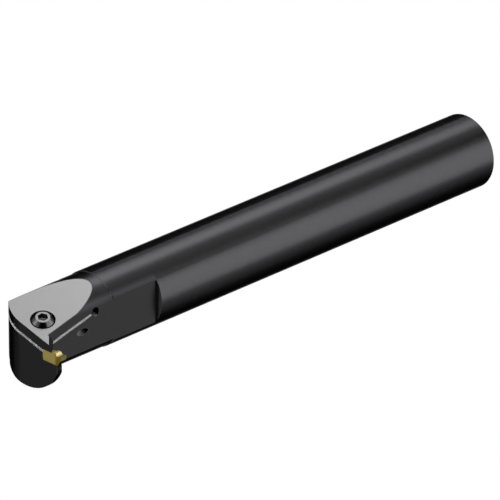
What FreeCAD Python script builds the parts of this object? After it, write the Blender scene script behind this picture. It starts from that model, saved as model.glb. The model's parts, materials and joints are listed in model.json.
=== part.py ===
import FreeCAD, Part
import math
import os
import Sketcher

# A boring bar for internal grooving. A round steel bar carries a shortened head with a sprung jaw, a cap
# screw closes the jaw, and the jaw holds a carbide grooving insert on a thin round-bellied blade.
# The origin lies on the bar's axis at the shoulder where the full round shank begins. +X runs to the rear
# end, -Y is the side that the insert points to, and +Z is up.

# Every driving size, in millimetres and degrees: name, value, meaning
SIZES = [
    ("shank_diameter", 25.0, "round shank that a tool holder grips"),
    ("overall_length", 200.0, "front face to rear end"),
    ("head_length", 49.3, "front face to the shoulder at the end of the flat"),
    ("neck_length", 30.4, "front face to the ring where the head steps down"),
    ("head_diameter", 24.5, "head in front of the ring"),
    ("rear_chamfer", 0.5, "bevel round the rear end"),
    ("flat_offset", 10.2, "axis to the long flat on the insert's side"),
    ("shoulder_fillet", 1.0, "inside corner between the flat and the shoulder"),
    ("corner_radius", 12.4, "rounding of the front corner away from the insert, seen from above"),
    ("blade_thickness", 2.0, "blade under the insert, along the bar"),
    ("blade_radius", 15.0, "round belly of the blade"),
    ("blade_offset", 3.1, "axis to the centre of the belly, towards the insert"),
    ("blade_reach", 17.3, "axis to the blade's end under the insert"),
    ("blade_end_radius", 0.95, "rounding of the blade's end, seen from above"),
    ("seat_depth", 3.7, "axis height down to the blade's top, where the insert sits"),
    ("groove_width", 1.2, "vee groove along the blade's top that keys the insert"),
    ("groove_depth", 0.35, "depth of that vee groove"),
    ("side_tilt", 15.6, "jaw's top falls towards the insert's side by this angle"),
    ("front_tilt", 13.4, "jaw's top falls towards the front by this angle"),
    ("jaw_height", 6.0, "axis up to the jaw's top at the front face"),
    ("jaw_thickness", 3.0, "jaw above the slit"),
    ("slit_width", 1.0, "sawn slit that lets the jaw spring"),
    ("relief_diameter", 3.0, "round hole that ends the slit"),
    ("relief_from_front", 22.7, "front face to that hole"),
    ("finger_length", 6.0, "clamping finger at the jaw's front, along the bar"),
    ("finger_reach", 14.2, "axis to the finger's tip over the insert"),
    ("finger_skew", 52.7, "finger's slanted side faces this far round from the rear, seen from above"),
    ("finger_lean", 21.3, "that side leans back by this angle"),
    ("screw_from_front", 5.7, "front face to the clamp screw's axis, at the jaw's top"),
    ("screw_side", 4.5, "axis to the clamp screw, towards the insert"),
    ("screw_diameter", 4.0, "clamp screw's thread"),
    ("screw_length", 14.0, "clamp screw under its head"),
    ("screw_head_diameter", 7.0, "clamp screw's head"),
    ("screw_head_height", 2.8, "seat of the head to its top"),
    ("screw_face_diameter", 4.6, "flat top of the head, inside its cone"),
    ("screw_cone_height", 1.3, "height of that cone"),
    ("screw_proud", 1.2, "head's top above the jaw's top"),
    ("screw_tip_chamfer", 0.5, "bevel at the screw's tip"),
    ("socket_width", 3.0, "hexagon socket across its flats"),
    ("socket_depth", 1.9, "depth of the hexagon socket"),
    ("head_clearance", 0.5, "gap round the screw's head in its counterbore"),
    ("jaw_hole_clearance", 0.25, "gap round the screw in the jaw"),
    ("thread_clearance", 0.05, "gap round the screw in its tapped hole"),
    ("tip_clearance", 1.5, "gap under the screw's tip"),
    ("insert_width", 2.5, "groove that the insert cuts"),
    ("insert_proud", 0.15, "insert's side in front of the front face"),
    ("cutting_reach", 18.5, "axis to the cutting edge"),
    ("waist_depth", 0.2, "insert's body is narrower than its edge by this on each side"),
    ("edge_block_length", 1.7, "full-width block behind the cutting edge"),
    ("waist_ramp", 0.8, "ramp from that block down to the body"),
    ("side_relief", 0.3, "each side of the insert leans in by this down to its seat"),
    ("end_relief", 7.0, "clearance angle under the cutting edge"),
    ("end_relief_height", 1.5, "height of that clearance face"),
    ("heel_reach", 16.6, "axis to the insert's heel at its seat"),
    ("shoulder_reach", 14.6, "axis to the start of the chip former's shoulder"),
    ("shoulder_height", 0.5, "chip former's shoulder above the cutting edge"),
    ("shoulder_length", 1.0, "length of that shoulder's top"),
    ("shoulder_ramp", 0.5, "length of the ramp up to it"),
    ("hollow_depth", 0.3, "chip hollow below the cutting edge"),
    ("hollow_length", 0.7, "flat bottom of that hollow"),
    ("seat_gap", 0.03, "gap between the insert and its seat and stop"),
    ("clamp_gap", 0.05, "gap between the insert's top and the finger"),
    ("coolant_diameter", 6.0, "long coolant bore from the rear end"),
    ("inlet_diameter", 8.6, "wider mouth of the coolant bore"),
    ("inlet_depth", 12.0, "depth of that mouth"),
    ("outlet_diameter", 2.2, "slanted coolant hole that opens on the flat"),
    ("outlet_angle", 28.0, "slant of that hole to the flat"),
    ("outlet_from_front", 17.2, "front face to the middle of the hole's mouth"),
]

OPEN_AIR = 60.0  # how far cutting shapes reach past the bar, so that they always cut right through

doc = FreeCAD.newDocument("BoringBar")
sheet = doc.addObject("Spreadsheet::Sheet", "Size")
for row, (name, value, meaning) in enumerate(SIZES, start=1):
    sheet.set(f"A{row}", name)
    sheet.set(f"B{row}", str(value))
    sheet.setAlias(f"B{row}", name)
    sheet.set(f"C{row}", meaning)
doc.recompute()


# Places that several pieces share, written from the sheet's names
FRONT = "(-Size.head_length)"
REAR = "(Size.overall_length - Size.head_length)"
SCREW_SEAT = "(Size.screw_proud - Size.screw_head_height)"
SLIT_FLOOR = "(-Size.jaw_thickness - Size.slit_width)"
JAW_RISE = "(tan(Size.front_tilt) / cos(Size.side_tilt))"


def number(expression):
    """Value that an expression of sheet names has now."""
    return float(sheet.evalExpression(expression))


def bind(thing, **expressions):
    """Ties an object's properties to the sheet."""
    for name, expression in expressions.items():
        thing.setExpression(name, expression)


def vector(x, y, z):
    return f"create(<<vector>>; {x}; {y}; {z})"


def turn(x, y, z, angle):
    return f"create(<<rotation>>; {vector(x, y, z)}; {angle})"


def place(position, rotation):
    return f"create(<<placement>>; {position}; {rotation})"


NO_TURN = turn(0, 0, 1, 0)

# The jaw's top is a plane that falls to the front and to the insert's side. Its own frame has the clamp
# screw's axis as z, starting on that plane, and y runs in the plane across the bar.
JAW_FRAME = place(
    vector(
        "Size.screw_from_front - Size.head_length",
        "-Size.screw_side",
        f"Size.jaw_height + {JAW_RISE} * Size.screw_from_front - tan(Size.side_tilt) * Size.screw_side",
    ),
    turn(1, 0, 0, "Size.side_tilt") + " * " + turn(0, 1, 0, "-Size.front_tilt"),
)


def in_jaw(x, y, z, rotation=NO_TURN):
    """Placement of something given in the jaw's own frame."""
    return JAW_FRAME + " * " + place(vector(x, y, z), rotation)


def new_body(label):
    body = doc.addObject("PartDesign::Body", label + "_body")
    body.Label = label
    return body


def new_sketch(body, name, plane, offset="0"):
    """Sketch on one of the body's own origin planes, moved along that plane's normal."""
    sketch = body.newObject("Sketcher::SketchObject", name)
    plane_feature = [f for f in body.Origin.OriginFeatures if f.Role == plane][0]
    sketch.AttachmentSupport = (plane_feature, [""])
    sketch.MapMode = "FlatFace"
    sketch.setExpression(".AttachmentOffset.Base.z", offset)
    return sketch


def pin_point(sketch, geometry, point, x, y):
    """Ties a point's coordinates to expressions. None leaves one free for an arc to settle."""
    for kind, expression in (("DistanceX", x), ("DistanceY", y)):
        if expression is not None:
            index = sketch.addConstraint(
                Sketcher.Constraint(kind, -1, 1, geometry, point, number(expression)))
            sketch.setExpression(f"Constraints[{index}]", expression)


def draw_outline(sketch, corners, arc_edge=None, arc_centre=None, arc_end=None):
    """Closed outline through corners, each a pair of expressions. One edge may be a clockwise arc."""
    points = []
    for x, y in corners:
        points.append([None if value is None else number(value) for value in (x, y)])
    if arc_edge is not None:
        points[(arc_edge + 1) % len(points)] = [number(value) for value in arc_end]
    at = [FreeCAD.Vector(x, y, 0) for x, y in points]
    ends = []
    for index, start in enumerate(at):
        finish = at[(index + 1) % len(at)]
        if index == arc_edge:
            centre = FreeCAD.Vector(number(arc_centre[0]), number(arc_centre[1]), 0)
            circle = Part.Circle(centre, FreeCAD.Vector(0, 0, 1), (start - centre).Length)
            first = math.atan2(finish.y - centre.y, finish.x - centre.x)
            last = math.atan2(start.y - centre.y, start.x - centre.x)
            sketch.addGeometry(Part.ArcOfCircle(circle, first, last), False)
            ends.append((2, 1))
        else:
            sketch.addGeometry(Part.LineSegment(start, finish), False)
            ends.append((1, 2))
    for index in range(len(at)):
        after = (index + 1) % len(at)
        sketch.addConstraint(
            Sketcher.Constraint("Coincident", index, ends[index][1], after, ends[after][0]))
    for index, (x, y) in enumerate(corners):
        pin_point(sketch, index, ends[index][0], x, y)
    if arc_edge is not None:
        pin_point(sketch, arc_edge, 3, arc_centre[0], arc_centre[1])


def draw_circle(sketch, x, y, radius):
    centre = FreeCAD.Vector(number(x), number(y), 0)
    sketch.addGeometry(Part.Circle(centre, FreeCAD.Vector(0, 0, 1), number(radius)), False)
    pin_point(sketch, 0, 3, x, y)
    index = sketch.addConstraint(Sketcher.Constraint("Radius", 0, number(radius)))
    sketch.setExpression(f"Constraints[{index}]", radius)


def revolve(body, sketch, axis):
    feature = body.newObject("PartDesign::Revolution", sketch.Name + "Turned")
    feature.Profile = sketch
    feature.ReferenceAxis = (sketch, [axis])
    feature.Angle = 360.0
    doc.recompute()
    return feature


def pad(body, sketch, length, reverse=False):
    feature = body.newObject("PartDesign::Pad", sketch.Name + "Pad")
    feature.Profile = sketch
    feature.Reversed = reverse
    feature.setExpression("Length", length)
    doc.recompute()
    return feature


def pocket(body, sketch, length=None, both_ways=False, reverse=False):
    """Removes the sketch's area, and stops if nothing was removed."""
    volume = body.Shape.Volume
    feature = body.newObject("PartDesign::Pocket", sketch.Name + "Pocket")
    feature.Profile = sketch
    feature.Reversed = reverse
    feature.SideType = "Symmetric" if both_ways else "One side"
    if length is None:
        feature.Type = "ThroughAll"
    else:
        feature.setExpression("Length", length)
    doc.recompute()
    if body.Shape.Volume > volume - 1e-6:
        raise RuntimeError(sketch.Name + " removed nothing")
    return feature


def box(name, placement, length, width, height):
    solid = doc.addObject("Part::Box", name)
    bind(solid, Placement=placement, Length=length, Width=width, Height=height)
    return solid


def rod(name, placement, radius, height):
    solid = doc.addObject("Part::Cylinder", name)
    bind(solid, Placement=placement, Radius=radius, Height=height)
    return solid


def joined(name, solids):
    union = doc.addObject("Part::MultiFuse", name)
    union.Shapes = solids
    return union


def cut(name, base, tool):
    difference = doc.addObject("Part::Cut", name)
    difference.Base = base
    difference.Tool = tool
    return difference


def make_bar_blank():
    """Turned bar with its flat, its blade and its rounded front corner, before the jaw is cut."""
    body = new_body("bar_blank")

    profile = new_sketch(body, "TurnedProfile", "XZ_Plane")
    ring = f"{FRONT} + Size.neck_length"
    draw_outline(profile, [
        (FRONT, "0"),
        (FRONT, "Size.head_diameter / 2"),
        (ring, "Size.head_diameter / 2"),
        (f"{ring} + (Size.shank_diameter - Size.head_diameter) / 2", "Size.shank_diameter / 2"),
        (f"{REAR} - Size.rear_chamfer", "Size.shank_diameter / 2"),
        (REAR, "Size.shank_diameter / 2 - Size.rear_chamfer"),
        (REAR, "0"),
    ])
    revolve(body, profile, "H_Axis")

    # The flat ends in a filleted shoulder, where the full round shank begins
    flat = new_sketch(body, "FlatArea", "XY_Plane")
    fillet_y = "-Size.flat_offset - Size.shoulder_fillet"
    draw_outline(flat, [
        (f"{FRONT} - Size.shank_diameter", "-Size.flat_offset"),
        ("-Size.shoulder_fillet", "-Size.flat_offset"),
        (None, fillet_y),
        ("0", "-Size.shank_diameter"),
        (f"{FRONT} - Size.shank_diameter", "-Size.shank_diameter"),
    ], arc_edge=1, arc_centre=("-Size.shoulder_fillet", fillet_y), arc_end=("0", fillet_y))
    pocket(body, flat, both_ways=True)

    # The blade is a disc slice at the very front, and most of it lies inside the head
    disc = new_sketch(body, "BladeDisc", "YZ_Plane", FRONT)
    draw_circle(disc, "-Size.blade_offset", "0", "Size.blade_radius")
    pad(body, disc, "Size.blade_thickness")

    # Above the seat the disc is cut back to the flat, and it keeps the head's round elsewhere
    above_seat = new_sketch(body, "AboveSeat", "YZ_Plane", f"{FRONT} - Size.blade_thickness")
    far_y = "Size.blade_radius + Size.shank_diameter"
    draw_outline(above_seat, [
        (f"-({far_y})", "-Size.seat_depth"),
        ("-Size.flat_offset", "-Size.seat_depth"),
        ("-Size.flat_offset", far_y),
        (f"-({far_y})", far_y),
    ])
    pocket(body, above_seat, "3 * Size.blade_thickness", reverse=True)

    # The blade's end is cut square, then both its upright edges are rounded
    beyond = new_sketch(body, "BeyondBlade", "YZ_Plane", f"{FRONT} - Size.blade_thickness")
    draw_outline(beyond, [
        (f"-({far_y})", f"-({far_y})"),
        ("-Size.blade_reach", f"-({far_y})"),
        ("-Size.blade_reach", far_y),
        (f"-({far_y})", far_y),
    ])
    pocket(body, beyond, "3 * Size.blade_thickness", reverse=True)
    round_upright_edges(body, number("-Size.blade_reach"), "Size.blade_end_radius")

    # Vee groove along the blade's top, from the flat outwards
    groove = new_sketch(body, "SeatGroove", "XZ_Plane", "Size.flat_offset")
    middle = f"{FRONT} + Size.blade_thickness / 2"
    draw_outline(groove, [
        (f"{middle} - Size.groove_width / 2", "-Size.seat_depth"),
        (middle, "-Size.seat_depth - Size.groove_depth"),
        (f"{middle} + Size.groove_width / 2", "-Size.seat_depth"),
    ])
    pocket(body, groove, "Size.blade_radius", reverse=True)

    # Away from the insert the front corner is rounded in plan
    corner = new_sketch(body, "FrontCorner", "XY_Plane")
    outside = "Size.corner_radius + Size.shank_diameter"
    draw_outline(corner, [
        (FRONT, "0"),
        (f"{FRONT} + Size.corner_radius", None),
        (f"{FRONT} + Size.corner_radius", outside),
        (f"{FRONT} - Size.shank_diameter", outside),
        (f"{FRONT} - Size.shank_diameter", "0"),
    ], arc_edge=0, arc_centre=(f"{FRONT} + Size.corner_radius", "0"),
        arc_end=(f"{FRONT} + Size.corner_radius", "Size.corner_radius"))
    pocket(body, corner, both_ways=True)
    return body


def round_upright_edges(body, y, radius):
    """Fillets the body's vertical straight edges that stand at this y."""
    names = []
    for index, edge in enumerate(body.Shape.Edges, start=1):
        ends = [vertex.Point for vertex in edge.Vertexes]
        if len(ends) == 2 and abs(ends[0].x - ends[1].x) < 1e-6:
            if all(abs(point.y - y) < 1e-6 for point in ends):
                names.append(f"Edge{index}")
    rounded = body.Tip
    fillet = body.newObject("PartDesign::Fillet", "BladeEndRounding")
    fillet.Base = (rounded, names)
    fillet.setExpression("Radius", radius)
    doc.recompute()


def make_finger():
    """Clamping finger that the jaw holds out over the insert, with a slanted side."""
    root = "(Size.flat_offset - 1)"
    tip = vector(FRONT, "-Size.finger_reach", "Size.clamp_gap")
    block = box("FingerBlock", place(tip, NO_TURN),
                "Size.finger_length", f"Size.finger_reach - {root}", "Size.jaw_height")
    slant = box("FingerSlant",
                place(tip, turn(0, 0, 1, "-Size.finger_skew") + " * " + turn(0, 1, 0, "-Size.finger_lean"))
                + " * " + place(vector(0, -OPEN_AIR / 2, -OPEN_AIR / 2), NO_TURN),
                str(OPEN_AIR), str(OPEN_AIR), str(OPEN_AIR))
    under_jaw = box("UnderJaw", in_jaw(-OPEN_AIR / 2, -OPEN_AIR / 2, f"-Size.jaw_thickness - {OPEN_AIR}"),
                    str(OPEN_AIR), str(OPEN_AIR), str(OPEN_AIR))
    return cut("Finger", block, joined("FingerCuts", [slant, under_jaw]))


def make_jaw_cuts():
    """What is cut away to form the jaw, its slit and its screw hole."""
    over = box("OverJaw", in_jaw(-OPEN_AIR, -OPEN_AIR, 0),
               str(2 * OPEN_AIR), str(2 * OPEN_AIR), str(OPEN_AIR))
    slit_end = ("((Size.relief_from_front - Size.screw_from_front"
                " - (Size.jaw_thickness + Size.slit_width / 2) * sin(Size.front_tilt))"
                " / cos(Size.front_tilt))")
    slit = box("Slit", in_jaw(f"{slit_end} - {OPEN_AIR}", -OPEN_AIR, SLIT_FLOOR),
               str(OPEN_AIR), str(2 * OPEN_AIR), "Size.slit_width")
    relief = rod("SlitRelief",
                 in_jaw(slit_end, OPEN_AIR, "-Size.jaw_thickness - Size.slit_width / 2",
                        turn(1, 0, 0, 90)),
                 "Size.relief_diameter / 2", str(2 * OPEN_AIR))
    counterbore = rod("Counterbore", in_jaw(0, 0, SCREW_SEAT),
                      "Size.screw_head_diameter / 2 + Size.head_clearance", str(OPEN_AIR))
    jaw_hole = rod("JawHole", in_jaw(0, 0, SLIT_FLOOR),
                   "Size.screw_diameter / 2 + Size.jaw_hole_clearance",
                   "Size.jaw_thickness + Size.slit_width")
    hole_bottom = f"({SCREW_SEAT} - Size.screw_length - Size.tip_clearance)"
    tapped = rod("TappedHole", in_jaw(0, 0, hole_bottom),
                 "Size.screw_diameter / 2 + Size.thread_clearance", f"{SLIT_FLOOR} - {hole_bottom}")
    return [over, slit, relief, counterbore, jaw_hole, tapped]


def make_coolant_cuts():
    """Coolant runs in from the rear end, along the axis, and out through a slanted hole in the flat."""
    outlet_x = f"({FRONT} + Size.outlet_from_front)"
    bore_end = f"({outlet_x} + Size.flat_offset / tan(Size.outlet_angle))"
    along_bar = turn(0, 1, 0, 90)
    bore = rod("CoolantBore", place(vector(bore_end, 0, 0), along_bar),
               "Size.coolant_diameter / 2", f"{REAR} - {bore_end} + 1")
    inlet = rod("CoolantInlet", place(vector(f"{REAR} - Size.inlet_depth", 0, 0), along_bar),
                "Size.inlet_diameter / 2", "Size.inlet_depth + 1")
    outlet = rod("CoolantOutlet",
                 place(vector(bore_end, 0, 0),
                       turn(0, 0, 1, "Size.outlet_angle") + " * " + turn(0, 1, 0, -90)),
                 "Size.outlet_diameter / 2", "Size.flat_offset / sin(Size.outlet_angle) + 10")
    return [bore, inlet, outlet]


def make_bar():
    """The one-piece steel bar with its integral jaw."""
    blank = joined("BarWithFinger", [make_bar_blank(), make_finger()])
    waste = joined("BarCuts", make_jaw_cuts() + make_coolant_cuts())
    bar = cut("Bar", blank, waste)
    bar.Label = "bar_body"
    return bar


def make_clamp_screw():
    """Cap screw with a coned head and a hexagon socket, standing on the jaw's own axis."""
    body = new_body("clamp_screw")
    body.setExpression("Placement", in_jaw(0, 0, 0))

    tip = f"({SCREW_SEAT} - Size.screw_length)"
    profile = new_sketch(body, "ScrewProfile", "XZ_Plane")
    draw_outline(profile, [
        ("0", "Size.screw_proud"),
        ("Size.screw_face_diameter / 2", "Size.screw_proud"),
        ("Size.screw_head_diameter / 2", "Size.screw_proud - Size.screw_cone_height"),
        ("Size.screw_head_diameter / 2", SCREW_SEAT),
        ("Size.screw_diameter / 2", SCREW_SEAT),
        ("Size.screw_diameter / 2", f"{tip} + Size.screw_tip_chamfer"),
        ("Size.screw_diameter / 2 - Size.screw_tip_chamfer", tip),
        ("0", tip),
    ])
    revolve(body, profile, "V_Axis")

    socket = new_sketch(body, "Socket", "XY_Plane", "Size.screw_proud")
    corner_radius = "Size.socket_width / 2 / cos(30)"
    draw_outline(socket, [
        (f"{corner_radius} * cos({60 * side})", f"{corner_radius} * sin({60 * side})")
        for side in range(6)
    ])
    pocket(body, socket, "Size.socket_depth")
    return body


def make_insert():
    """Carbide grooving insert: a keyed bar with a full-width cutting end and a chip former."""
    body = new_body("insert")
    front = f"({FRONT} - Size.insert_proud)"
    back = f"({front} + Size.insert_width)"
    bottom = "(-Size.seat_depth + Size.seat_gap)"
    blade_middle = f"({FRONT} + Size.blade_thickness / 2)"
    inner = "(Size.flat_offset + Size.seat_gap)"

    # Cross-section: the sides lean in towards the seat, and a vee key runs along the underside
    section = new_sketch(body, "InsertSection", "XZ_Plane", inner)
    draw_outline(section, [
        (front, "0"),
        (front, "Size.shoulder_height"),
        (back, "Size.shoulder_height"),
        (back, "0"),
        (f"{back} - Size.side_relief", bottom),
        (f"{blade_middle} + Size.groove_width / 2", bottom),
        (blade_middle, f"{bottom} - Size.groove_depth"),
        (f"{blade_middle} - Size.groove_width / 2", bottom),
        (f"{front} + Size.side_relief", bottom),
    ])
    pad(body, section, f"Size.cutting_reach - {inner}")

    # Top: clamping land, ramp up to the chip former's shoulder, hollow, and up again to the edge
    top = new_sketch(body, "InsertTop", "YZ_Plane")
    shoulder_start = "(Size.shoulder_reach + Size.shoulder_ramp)"
    shoulder_end = f"({shoulder_start} + Size.shoulder_length)"
    hollow_start = f"({shoulder_end} + Size.shoulder_ramp)"
    open_top = "(Size.shoulder_height + 1)"
    draw_outline(top, [
        ("-Size.flat_offset + 1", "0"),
        ("-Size.shoulder_reach", "0"),
        (f"-{shoulder_start}", "Size.shoulder_height"),
        (f"-{shoulder_end}", "Size.shoulder_height"),
        (f"-{hollow_start}", "-Size.hollow_depth"),
        (f"-{hollow_start} - Size.hollow_length", "-Size.hollow_depth"),
        ("-Size.cutting_reach", "0"),
        ("-Size.cutting_reach - 1", "0"),
        ("-Size.cutting_reach - 1", open_top),
        ("-Size.flat_offset + 1", open_top),
    ])
    pocket(body, top, both_ways=True)

    # End: a clearance face under the cutting edge, then a steeper cut back to the heel
    end = new_sketch(body, "InsertEnd", "YZ_Plane")
    below = "(-Size.seat_depth - Size.groove_depth - 1)"
    relief_y = "(-Size.cutting_reach + Size.end_relief_height * tan(Size.end_relief))"
    draw_outline(end, [
        ("-Size.cutting_reach", "0"),
        (relief_y, "-Size.end_relief_height"),
        ("-Size.heel_reach", bottom),
        ("-Size.heel_reach", below),
        ("-Size.cutting_reach - 1", below),
        ("-Size.cutting_reach - 1", "0"),
    ])
    pocket(body, end, both_ways=True)

    # Sides: the body behind the cutting end is narrower, so that only the end touches the groove
    for side, edge, inward in (("Front", front, 1), ("Back", back, -1)):
        waist = new_sketch(body, "InsertWaist" + side, "XY_Plane")
        block_start = "(-Size.cutting_reach + Size.edge_block_length)"
        draw_outline(waist, [
            (f"{edge} - {inward}", "-Size.flat_offset + 1"),
            (f"{edge} + {inward} * Size.waist_depth", "-Size.flat_offset + 1"),
            (f"{edge} + {inward} * Size.waist_depth", f"{block_start} + Size.waist_ramp"),
            (edge, block_start),
            (f"{edge} - {inward}", block_start),
        ])
        pocket(body, waist, both_ways=True)
    return body


def check_and_export(pieces):
    """Stops at anything that failed to build, then writes one STEP file for each piece."""
    doc.recompute()
    for thing in doc.Objects:
        if "Invalid" in thing.State or "Error" in thing.State:
            raise RuntimeError(f"{thing.Label} failed: {thing.State}")
    os.makedirs("parts", exist_ok=True)
    for piece in pieces:
        shape = piece.Shape
        if shape.isNull() or not shape.isValid():
            raise RuntimeError(f"{piece.Label} has no valid shape")
        print(f"{piece.Label}: {len(shape.Solids)} solid, {shape.Volume:.1f} mm3, {shape.BoundBox}")
        shape.exportStep(f"parts/{piece.Label}.step")


check_and_export([make_bar(), make_clamp_screw(), make_insert()])
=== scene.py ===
import json
import math

import bpy
from mathutils import Matrix, Vector

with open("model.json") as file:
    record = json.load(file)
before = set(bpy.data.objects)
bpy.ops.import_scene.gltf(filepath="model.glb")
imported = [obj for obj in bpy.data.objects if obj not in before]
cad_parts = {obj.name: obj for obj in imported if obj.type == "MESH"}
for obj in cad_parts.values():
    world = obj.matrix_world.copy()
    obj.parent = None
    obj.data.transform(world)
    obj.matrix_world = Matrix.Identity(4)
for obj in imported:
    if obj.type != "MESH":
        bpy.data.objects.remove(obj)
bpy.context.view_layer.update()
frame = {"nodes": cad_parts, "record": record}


# The bar. One piece of hardened tool steel, turned to a 25 mm shank, milled flat beside the insert and
# sawn to leave a springy jaw. It is black-oxidised all over. The jaw's slope, the saw slit and the drilled
# holes are cut after that and stay bare.

MM = 0.001
HAIR = 0.03 * MM  # width over which one finish gives way to the next
SQUARE = (0.985, 0.995)  # cosines between which a face comes square to a direction

OXIDE_TONES = ("#2F2F30", "#353536")
OXIDE_ROUGHNESS = (0.28, 0.34)
OXIDE_PATCH = 2.0 * MM
EDGE_ON_TINT = "#5C5C5C"
# Painted shade for the faces across the bar
END_FACE_PAINTED_SHADE = "#2B2B2C"

# Lengths along the bar are measured from the shoulder, and offsets and heights from the bar's axis
FLAT_OFFSET = 10.2 * MM
HEAD_LENGTH = 49.3 * MM
HEAD_RADIUS = 12.25 * MM

# A painted highlight on the round beside the flat's long edges
EDGE_PAINTED_HIGHLIGHT = "#414143"
HIGHLIGHT_START, HIGHLIGHT_MOST, HIGHLIGHT_END = 7.0 * MM, 8.0 * MM, 9.2 * MM  # heights on the round
HIGHLIGHT_SIDE = (7.0 * MM, 7.5 * MM)
BLADE_FROM_SHOULDER = 47.0 * MM
# A painted highlight on the ring's step, brightest in its corner with the flat
RING_PAINTED_HIGHLIGHT = "#5A5A5C"
RING_CORNER_PAINTED_HIGHLIGHT = "#C8C8CA"
RING_FROM_SHOULDER = 18.9 * MM
RING_STEP = 0.25 * MM
RING_SIDE = (0.5 * MM, 3.0 * MM)
RING_COSINES = (0.5, 0.6)

MILLED_OXIDE = "#393838"
MILLED_ROUGHNESS = 0.65
MILLED_COSINES = (0.99, 0.999)
# Painted shade in the inside corner at the shoulder
CORNER_PAINTED_SHADE = "#181819"
CORNER_START, CORNER_END = 0.1 * MM, 1.0 * MM
DULL_OXIDE = "#585859"
WALL_END = 2.2 * MM
FINGER_SKEW = math.radians(52.7)
FINGER_LEAN = math.radians(21.3)
FINGER_WEAR = 0.2

# The clamp screw stands square to the jaw's slope, at the point that its joint gives
screw_turn = next(j for j in frame["record"]["behaviour"]["joints"] if j["name"] == "screw_turn")
SCREW_POINT = Vector(screw_turn["pos_m"])
JAW_UP = Vector(screw_turn["axis"])
JAW_ACROSS = JAW_UP.cross(Vector((1, 0, 0))).normalized()
JAW_BACK = JAW_ACROSS.cross(JAW_UP)

GROUND_STEEL = "#888888"
JAW_THICKNESS = 3.0 * MM
FLAT_RIM = (0.1 * MM, 0.45 * MM)
ROUND_RIM = (0.03 * MM, 0.12 * MM)
FINGER_FROM_SHOULDER = 46.9 * MM
FINGER_BLEND = 0.2 * MM

# Bare sawn steel, painted near-white as painted light against the shade in the slit and the relief hole
SAWN_STEEL_AND_PAINTED_LIGHT = "#F8F8FA"
SLIT_WIDTH = 1.0 * MM
SLIT_RIM = (0.02 * MM, 0.25 * MM)
RELIEF_FROM_SCREW = 16.642 * MM
RELIEF_RADIUS = 1.5 * MM
# Painted light on the lowest part of the relief hole's wall
LOWER_WALL_COSINES = (0.85, 0.97)
LOWER_WALL_PAINTED_LIGHT = 0.45

SEAT_STEEL = "#8C8C8E"
SEAT_DEPTH = 3.7 * MM
SEAT_ROOM = 0.5 * MM  # more than the depth of the groove in the seat
SEAT_COSINES = (0.6, 0.7)

DRILLED_STEEL = "#808082"
OUTLET_MOUTH = Vector((-32.1, -10.2, 0)) * MM
OUTLET_ANGLE = math.radians(28)
OUTLET_RADIUS = 1.1 * MM

INLET_START = 138.7 * MM
INLET_RADIUS = 4.3 * MM
INLET_PITCH = 0.907 * MM
THREAD_DEPTH = 0.5 * INLET_PITCH
WAVE_REPEAT = math.pi / 10  # a Wave texture of scale 1 repeats at this distance


def linear(colour):
    """An sRGB hex colour as the linear values that a shader takes."""
    parts = [int(colour[i:i + 2], 16) / 255 for i in (1, 3, 5)]
    return [p / 12.92 if p <= 0.04045 else ((p + 0.055) / 1.055) ** 2.4 for p in parts] + [1.0]


def add(tree, kind, inputs=None, **settings):
    """Adds a node. Each input is a plain value, or another node's output that is linked to it."""
    made = tree.nodes.new("ShaderNode" + kind)
    for name, value in settings.items():
        setattr(made, name, value)
    for name, value in (inputs or {}).items():
        if isinstance(value, bpy.types.NodeSocket):
            tree.links.new(value, made.inputs[name])
        else:
            made.inputs[name].default_value = value
    return made


def new_material(name):
    """A material with an empty node tree."""
    material = bpy.data.materials.new(name)
    material.use_nodes = True
    material.node_tree.nodes.clear()
    return material, material.node_tree


def step_up(tree, value, start, finish):
    """0 below start, 1 above finish. With finish below start it steps down instead."""
    return add(tree, "MapRange", {"Value": value, "From Min": start, "From Max": finish}).outputs["Result"]


def both(tree, first, second):
    """1 where two masks are both 1. It also scales a number."""
    return add(tree, "Math", {0: first, 1: second}, operation="MULTIPLY").outputs["Value"]


def either(tree, first, second):
    """1 where at least one of two masks is 1."""
    return add(tree, "Math", {0: first, 1: second}, operation="MAXIMUM").outputs["Value"]


def between(tree, value, low, high):
    """1 where a length lies between two limits, with a hair's width of blend."""
    return both(tree, step_up(tree, value, low - HAIR, low), step_up(tree, value, high + HAIR, high))


def painted(tree, mask, under, over):
    """A colour laid over another where the mask is 1."""
    inputs = {"Factor": mask}
    for name, tone in (("A", under), ("B", over)):
        inputs[name] = linear(tone) if isinstance(tone, str) else tone
    return add(tree, "Mix", inputs, data_type="RGBA").outputs["Result"]


def chosen(tree, mask, under, over):
    """A number that turns from one value to another where the mask is 1."""
    return add(tree, "Mix", {"Factor": mask, "A": under, "B": over}).outputs["Result"]


def along(tree, vector, direction, origin=(0, 0, 0)):
    """How far a point lies from an origin, measured in one direction."""
    moved = add(tree, "VectorMath", {0: vector, 1: origin}, operation="SUBTRACT").outputs["Vector"]
    return add(tree, "VectorMath", {0: moved, 1: direction}, operation="DOT_PRODUCT").outputs["Value"]


def from_line(tree, vector, origin, direction):
    """Distance of a point from a line."""
    moved = add(tree, "VectorMath", {0: vector, 1: origin}, operation="SUBTRACT").outputs["Vector"]
    across = add(tree, "VectorMath", {0: moved, 1: direction}, operation="CROSS_PRODUCT").outputs["Vector"]
    return add(tree, "VectorMath", {0: across}, operation="LENGTH").outputs["Value"]


def facing(tree, normal, direction, start, finish):
    """Rises from 0 to 1 as a face turns towards a direction, between two cosines."""
    turned = add(tree, "VectorMath", {0: normal, 1: direction}, operation="DOT_PRODUCT").outputs["Value"]
    return step_up(tree, turned, start, finish)


def square_to(tree, normal, direction):
    """1 on faces that look along a direction, either way."""
    return either(tree, facing(tree, normal, direction, *SQUARE),
                  facing(tree, normal, -Vector(direction), *SQUARE))


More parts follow.
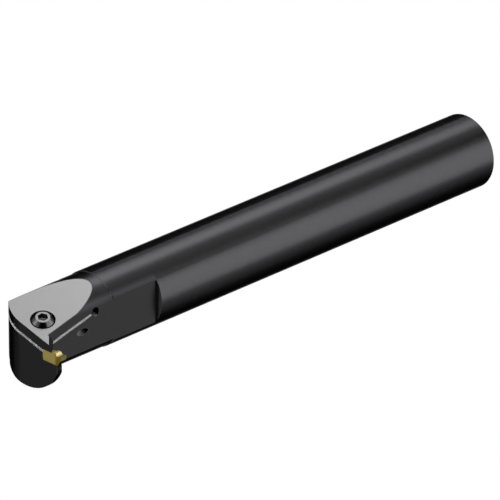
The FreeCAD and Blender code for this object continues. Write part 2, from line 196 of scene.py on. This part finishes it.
def black_oxide_steel():
    """Black-oxidised tool steel: a dark metal that mirrors its surroundings softly and turns black
    where it is seen edge-on, with bare steel where it was ground, sawn or drilled afterwards. Light and shade
    are painted into its tone in places."""
    material, tree = new_material("black_oxide_steel")
    place = add(tree, "TexCoord").outputs
    point, normal = place["Object"], place["Normal"]
    from_shoulder = along(tree, point, (-1, 0, 0))
    from_axis = from_line(tree, point, (0, 0, 0), (1, 0, 0))
    sideways = along(tree, point, (0, -1, 0))
    up = along(tree, point, (0, 0, 1))
    end_on = square_to(tree, normal, (1, 0, 0))

    # Oxide grows in patches about 2 mm across, so its tone and gloss wander a little
    patches = add(tree, "TexNoise", {"Vector": point, "Scale": 1 / OXIDE_PATCH, "Detail": 3.0}).outputs["Fac"]
    tone = painted(tree, patches, *OXIDE_TONES)
    rough = chosen(tree, patches, *OXIDE_ROUGHNESS)

    # Faces across the bar are painted darker, as painted shade
    tone = painted(tree, end_on, tone, END_FACE_PAINTED_SHADE)

    # A painted highlight: the round beside the flat's long edges is painted lighter
    height = add(tree, "Math", {0: up}, operation="ABSOLUTE").outputs["Value"]
    edge_highlight = both(tree, step_up(tree, height, HIGHLIGHT_START, HIGHLIGHT_MOST),
                  step_up(tree, height, HIGHLIGHT_END, HIGHLIGHT_MOST))
    edge_highlight = both(tree, edge_highlight, between(tree, from_shoulder, 0.0, BLADE_FROM_SHOULDER))
    edge_highlight = both(tree, edge_highlight, step_up(tree, sideways, *HIGHLIGHT_SIDE))
    tone = painted(tree, edge_highlight, tone, EDGE_PAINTED_HIGHLIGHT)

    # A painted highlight on the step of the ring, brightest in its corner with the flat
    ring_highlight = between(tree, from_shoulder, RING_FROM_SHOULDER - RING_STEP - HAIR, RING_FROM_SHOULDER + HAIR)
    ring_highlight = both(tree, ring_highlight, facing(tree, normal, (-1, 0, 0), *RING_COSINES))
    ring_highlight = both(tree, ring_highlight, both(tree, step_up(tree, sideways, *RING_SIDE), step_up(tree, up, 0.0, HAIR)))
    tone = painted(tree, ring_highlight, tone, painted(tree, edge_highlight, RING_PAINTED_HIGHLIGHT, RING_CORNER_PAINTED_HIGHLIGHT))

    # The flat is milled, which leaves it duller than the turned round, and the inside corner at the shoulder
    # is painted black as painted shade
    milled = both(tree, between(tree, sideways, FLAT_OFFSET - HAIR, FLAT_OFFSET + HAIR),
                  facing(tree, normal, (0, -1, 0), *MILLED_COSINES))
    tone = painted(tree, milled, tone, MILLED_OXIDE)
    rough = chosen(tree, milled, rough, MILLED_ROUGHNESS)
    shaded_corner = both(tree, step_up(tree, sideways, FLAT_OFFSET, FLAT_OFFSET + HAIR),
                  between(tree, from_shoulder, CORNER_START, CORNER_END))
    tone = painted(tree, shaded_corner, tone, CORNER_PAINTED_SHADE)

    # The mill also leaves the shoulder's wall and the finger's slanted side dull
    wall = both(tree, end_on, between(tree, from_shoulder, 0.0, WALL_END - HAIR))
    slant = Vector((math.cos(FINGER_SKEW), -math.sin(FINGER_SKEW), math.tan(FINGER_LEAN))).normalized()
    dull = either(tree, wall, both(tree, facing(tree, normal, slant, *SQUARE), FINGER_WEAR))
    tone = painted(tree, dull, tone, DULL_OXIDE)

    # The jaw's slope is ground bare, apart from a dark rim under half a millimetre wide along the flat
    # and the round, which stops at the finger
    depth = along(tree, point, -JAW_UP, SCREW_POINT)
    sloped = square_to(tree, normal, JAW_UP)
    inside_rim = both(tree, step_up(tree, sideways, *(FLAT_OFFSET - rim for rim in FLAT_RIM)),
                      step_up(tree, from_axis, *(HEAD_RADIUS - rim for rim in ROUND_RIM)))
    finger = step_up(tree, from_shoulder, FINGER_FROM_SHOULDER - FINGER_BLEND, FINGER_FROM_SHOULDER)
    ground = both(tree, sloped, step_up(tree, depth, JAW_THICKNESS / 2, 0.0))
    ground = both(tree, ground, either(tree, inside_rim, finger))
    tone = painted(tree, ground, tone, GROUND_STEEL)

    # The slit's walls are sawn bare and painted near-white as painted light against the slit's shade, apart
    # from a thinner dark rim along the flat and the front
    sawn_and_lit = both(tree, sloped, between(tree, depth, JAW_THICKNESS - HAIR, JAW_THICKNESS + SLIT_WIDTH + HAIR))
    sawn_and_lit = both(tree, sawn_and_lit, step_up(tree, sideways, *(FLAT_OFFSET - rim for rim in SLIT_RIM)))
    sawn_and_lit = both(tree, sawn_and_lit, step_up(tree, from_shoulder, *(HEAD_LENGTH - rim for rim in SLIT_RIM)))

    # The slit ends in a drilled hole, and the lowest part of its wall is painted lighter as painted light
    relief_line = SCREW_POINT + JAW_BACK * RELIEF_FROM_SCREW - JAW_UP * (JAW_THICKNESS + SLIT_WIDTH / 2)
    relief = step_up(tree, from_line(tree, point, relief_line, JAW_ACROSS),
                     RELIEF_RADIUS + 2 * HAIR, RELIEF_RADIUS + HAIR)
    lit_lower_wall = both(tree, relief, facing(tree, normal, JAW_UP, *LOWER_WALL_COSINES))
    sawn_and_lit = either(tree, sawn_and_lit, both(tree, lit_lower_wall, LOWER_WALL_PAINTED_LIGHT))
    tone = painted(tree, sawn_and_lit, tone, SAWN_STEEL_AND_PAINTED_LIGHT)

    # The blade's top is ground as a seat for the insert
    seat = both(tree, facing(tree, normal, (0, 0, 1), *SEAT_COSINES),
                between(tree, along(tree, point, (0, 0, -1)), SEAT_DEPTH - HAIR, SEAT_DEPTH + SEAT_ROOM))
    tone = painted(tree, seat, tone, SEAT_STEEL)

    # A slanted hole lets the coolant out beside the insert. Drilled and sawn walls are matt.
    outlet_line = Vector((math.cos(OUTLET_ANGLE), math.sin(OUTLET_ANGLE), 0))
    outlet = step_up(tree, from_line(tree, point, OUTLET_MOUTH, outlet_line),
                     OUTLET_RADIUS + 2 * HAIR, OUTLET_RADIUS + HAIR)
    outlet = both(tree, outlet, step_up(tree, sideways, 0.0, HAIR))
    tone = painted(tree, outlet, tone, DRILLED_STEEL)
    rough = chosen(tree, either(tree, outlet, sawn_and_lit), rough, 1.0)

    # Pipe thread in the coolant inlet, one ridge for each pitch
    inlet = both(tree, step_up(tree, from_axis, INLET_RADIUS + HAIR, INLET_RADIUS),
                 step_up(tree, along(tree, point, (1, 0, 0)), INLET_START, INLET_START + HAIR))
    ridges = add(tree, "TexWave", {"Vector": point, "Scale": WAVE_REPEAT / INLET_PITCH}).outputs["Fac"]
    thread = add(tree, "Bump", {"Height": both(tree, ridges, inlet), "Distance": THREAD_DEPTH})

    # A dull face scatters light as a matt black surface does, so it isn't rendered as a metal
    shader = add(tree, "BsdfPrincipled", {
        "Base Color": tone,
        "Metallic": chosen(tree, dull, 1.0, 0.0),
        "Roughness": rough,
        "Specular Tint": linear(EDGE_ON_TINT),
        "Normal": thread.outputs["Normal"],
    })
    add(tree, "OutputMaterial", {"Surface": shader.outputs["BSDF"]})
    return material


def dress(node, material):
    """Gives a CAD piece its material."""
    slots = frame["nodes"][node].data.materials
    slots.clear()
    slots.append(material)


dress("bar_body", black_oxide_steel())


# The clamp screw. A socket cap screw of alloy steel, 4 mm in thread, with its head turned to a cone and
# faced bright on top. It stands square to the jaw's slope and pulls the jaw down on the insert.

TURNED_STEEL = "#454547"
LEVEL_STEEL = "#929293"
# Painted light on the floor of the screw's socket
SOCKET_PAINTED_LIGHT = "#E4E4E6"
SCREW_EDGE_TINT = "#C0C0C0"
TURNING_PITCH = 0.15 * MM
TURNING_ROUGHNESS = (0.2, 0.26)
SCREW_PROUD = 1.2 * MM
SOCKET_RADIUS = 1.75 * MM


def polished_alloy_steel():
    """Turned alloy steel, blued lightly and polished, so its cone shows sharp light and dark."""
    material, tree = new_material("polished_alloy_steel")
    place = add(tree, "TexCoord").outputs
    point, normal = place["Object"], place["Normal"]
    level = square_to(tree, normal, JAW_UP)
    tone = painted(tree, level, TURNED_STEEL, LEVEL_STEEL)

    # Turning marks run round the screw's axis, 0.15 mm apart
    radius = from_line(tree, point, SCREW_POINT, JAW_UP)
    marks = add(tree, "Math", {0: both(tree, radius, 2 * math.pi / TURNING_PITCH)}, operation="SINE")
    rough = chosen(tree, step_up(tree, marks.outputs["Value"], -1.0, 1.0), *TURNING_ROUGHNESS)

    # The socket is punched, which leaves its floor grainy, and its floor is painted near-white as painted
    # light against the socket's shade
    height = along(tree, point, JAW_UP, SCREW_POINT)
    lit_socket_floor = both(tree, step_up(tree, radius, SOCKET_RADIUS + HAIR, SOCKET_RADIUS),
                  step_up(tree, height, SCREW_PROUD - HAIR, SCREW_PROUD - 2 * HAIR))
    lit_socket_floor = both(tree, lit_socket_floor, level)
    tone = painted(tree, lit_socket_floor, tone, SOCKET_PAINTED_LIGHT)
    rough = chosen(tree, lit_socket_floor, rough, 1.0)

    shader = add(tree, "BsdfPrincipled", {
        "Base Color": tone,
        "Metallic": 1.0,
        "Roughness": rough,
        "Specular Tint": linear(SCREW_EDGE_TINT),
    })
    add(tree, "OutputMaterial", {"Surface": shader.outputs["BSDF"]})
    return material


dress("clamp_screw", polished_alloy_steel())


# The insert. Sintered carbide ground on its sides and coated gold with a thin nitride layer, pushed
# sideways along the blade's groove until it meets the flat.

COAT_TONES = ("#8A7D4A", "#938552")
COAT_ROUGHNESS = 0.35
COAT_EDGE_TINT = "#909090"
SINTER_GRAIN = 0.2 * MM
# Painted shade on the end, the flanks and the underside, and a painted highlight on the chip former
END_PAINTED_SHADE = "#6E6645"
END_COSINES = (0.6, 0.9)
FORMER_PAINTED_HIGHLIGHT = "#9C9268"
FORMER_COSINES = (0.3, 0.5)
FORMER_START, FORMER_FULL = 15.0 * MM, 15.5 * MM
FLANK_PAINTED_SHADE = "#6A5B22"
FLANK_START, FLANK_FULL = 15.6 * MM, 16.0 * MM
UNDERSIDE_PAINTED_SHADE = "#1E1A08"
UNDER_COSINES = (0.2, 0.5)


def gold_nitride():
    """Nitride-coated carbide: a gold-coloured metal with the fine grain of sintering under it. Its tone is
    painted lighter on the chip former as a painted highlight, and darker on the end, the flanks and the
    underside as painted shade."""
    material, tree = new_material("gold_nitride")
    place = add(tree, "TexCoord").outputs
    point, normal = place["Object"], place["Normal"]
    sideways = along(tree, point, (0, -1, 0))
    grain = add(tree, "TexNoise", {"Vector": point, "Scale": 1 / SINTER_GRAIN, "Detail": 2.0}).outputs["Fac"]
    tone = painted(tree, grain, *COAT_TONES)

    # Painted highlight and shade: the chip former is painted lighter, and the end under the cutting edge, the
    # flanks and the underside darker
    end = facing(tree, normal, (0, -1, 0), *END_COSINES)
    former = both(tree, facing(tree, normal, (0, 0, 1), *FORMER_COSINES),
                  step_up(tree, sideways, FORMER_START, FORMER_FULL))
    flanks = both(tree, square_to(tree, normal, (1, 0, 0)),
                  step_up(tree, sideways, FLANK_START, FLANK_FULL))
    under = facing(tree, normal, (0, 0, -1), *UNDER_COSINES)
    for mask, painted_tone in ((end, END_PAINTED_SHADE), (former, FORMER_PAINTED_HIGHLIGHT), (flanks, FLANK_PAINTED_SHADE), (under, UNDERSIDE_PAINTED_SHADE)):
        tone = painted(tree, mask, tone, painted_tone)

    shader = add(tree, "BsdfPrincipled", {
        "Base Color": tone,
        "Metallic": 1.0,
        "Roughness": COAT_ROUGHNESS,
        "Specular Tint": linear(COAT_EDGE_TINT),
    })
    add(tree, "OutputMaterial", {"Surface": shader.outputs["BSDF"]})
    return material


dress("insert", gold_nitride())


# The studio: a white floor well below the bar, and four softboxes. The large ones at the side and above
# run their reflections along the shank, and the small ones light the screw's cone and the insert. A black
# card on the camera's side keeps edges dark, and a black flag darkens the valley between the reflections.

CENTRE = Vector((0.05, 0, 0))
FLOOR_DROP = 0.45
FLOOR_SIZE = 8.0
PAPER = "#F4F4F4"
WHITE = "#FFFFFF"

bpy.ops.mesh.primitive_plane_add(size=FLOOR_SIZE, location=(0, 0, -FLOOR_DROP))
floor = bpy.context.object
floor.name = "floor"


def white_paper():
    """Matt white paper that stays white behind the object."""
    material, tree = new_material("white_paper")
    paper = add(tree, "BsdfDiffuse", {"Color": linear(PAPER)})
    glow = add(tree, "Emission", {"Color": linear(WHITE), "Strength": 1.0})
    path = add(tree, "LightPath").outputs
    seen = either(tree, path["Is Camera Ray"], path["Is Glossy Ray"])
    seen = either(tree, seen, path["Is Transmission Ray"])
    mixed = add(tree, "MixShader", {0: seen, 1: paper.outputs["BSDF"], 2: glow.outputs["Emission"]})
    add(tree, "OutputMaterial", {"Surface": mixed.outputs["Shader"]})
    return material


floor.data.materials.append(white_paper())

CARD_AWAY = 0.8
CARD_TURN = math.radians(45)
CARD_WIDTH = 1.1
CARD_TOP = 1.3

bpy.ops.mesh.primitive_plane_add(size=1.0)
card = bpy.context.object
card.name = "black_card"
card.scale = (CARD_WIDTH, CARD_TOP + FLOOR_DROP, 1)
card.rotation_euler = (math.radians(90), 0, -CARD_TURN)
card.location = (-CARD_AWAY * math.sin(CARD_TURN), -CARD_AWAY * math.cos(CARD_TURN),
                 (CARD_TOP - FLOOR_DROP) / 2)


def turned_to_bar(towards, distance):
    """Placement in one direction from the bar, facing it, with the long side along the bar."""
    back = Vector(towards).normalized()
    along_bar = (Vector((1, 0, 0)) - back * back.x).normalized()
    across = back.cross(along_bar)
    return Matrix.Translation(CENTRE + back * distance) @ Matrix((
        (along_bar.x, across.x, back.x, 0),
        (along_bar.y, across.y, back.y, 0),
        (along_bar.z, across.z, back.z, 0),
        (0, 0, 0, 1),
    ))


FLAG_TOWARDS = (0.641, -0.395, 0.66)
FLAG_AWAY = 1.0
FLAG_WIDTH = 0.18
FLAG_LENGTH = 0.5
FLAG_SHIFT = 0.25

bpy.ops.mesh.primitive_plane_add(size=1.0)
flag = bpy.context.object
flag.name = "black_flag"
flag.matrix_world = (turned_to_bar(FLAG_TOWARDS, FLAG_AWAY) @ Matrix.Translation((FLAG_SHIFT, 0, 0))
                     @ Matrix.Diagonal((FLAG_LENGTH, FLAG_WIDTH, 1, 1)))

BLACK = "#0A0A0A"


def black_card():
    """Matt black card."""
    material, tree = new_material("black_card")
    face = add(tree, "BsdfDiffuse", {"Color": linear(BLACK)})
    add(tree, "OutputMaterial", {"Surface": face.outputs["BSDF"]})
    return material


blackened = black_card()
for screen in (card, flag):
    screen.visible_camera = False
    screen.visible_shadow = False
    screen.data.materials.append(blackened)

LAMP_AWAY = 1.2


def softbox(name, towards, width, length, strength):
    """Area lamp in one direction from the bar, with its long side along the bar."""
    data = bpy.data.lights.new(name, "AREA")
    data.shape = "RECTANGLE"
    data.size = length
    data.size_y = width
    data.energy = strength * width * length * math.pi
    lamp = bpy.data.objects.new(name, data)
    bpy.context.collection.objects.link(lamp)
    lamp.matrix_world = turned_to_bar(towards, LAMP_AWAY)
    lamp.visible_camera = False


softbox("side_softbox", (0.641, -0.767, 0.02), width=1.15, length=0.8, strength=3.15)
softbox("top_softbox", (0.54, 0.275, 0.717), width=0.64, length=0.6, strength=6.4)
softbox("left_softbox", (-0.775, 0.52, 0.36), width=0.35, length=0.6, strength=3.2)
softbox("front_softbox", (0.08, -0.94, 0.33), width=0.3, length=0.45, strength=2.6)

world = bpy.data.worlds.new("sky")
bpy.context.scene.world = world
world.use_nodes = True
world.node_tree.nodes.clear()
sky = add(world.node_tree, "Background", {"Color": linear(WHITE), "Strength": 1.0})
add(world.node_tree, "OutputWorld", {"Surface": sky.outputs["Background"]})


# The camera stands in front of the insert, 25 degrees above the bar and at 45 degrees to it, far off
# behind a long lens.

AIM = Vector((-18.83 * MM, 0, 0))
CAMERA_FROM_AIM = Vector((-1.64134, -1.71148, 1.12577))
CAMERA_PITCH = math.radians(65)
CAMERA_TURN = math.radians(-45)
LENS = 607.4
SENSOR = 36.0
NEAREST, FARTHEST = 0.05, 50

data = bpy.data.cameras.new("camera")
data.sensor_width = SENSOR
data.lens = LENS
data.clip_start = NEAREST
data.clip_end = FARTHEST
camera = bpy.data.objects.new("camera", data)
bpy.context.collection.objects.link(camera)
camera.location = AIM + CAMERA_FROM_AIM
camera.rotation_euler = (CAMERA_PITCH, 0, CAMERA_TURN)
bpy.context.scene.camera = camera

bpy.context.scene.view_settings.view_transform = "Standard"
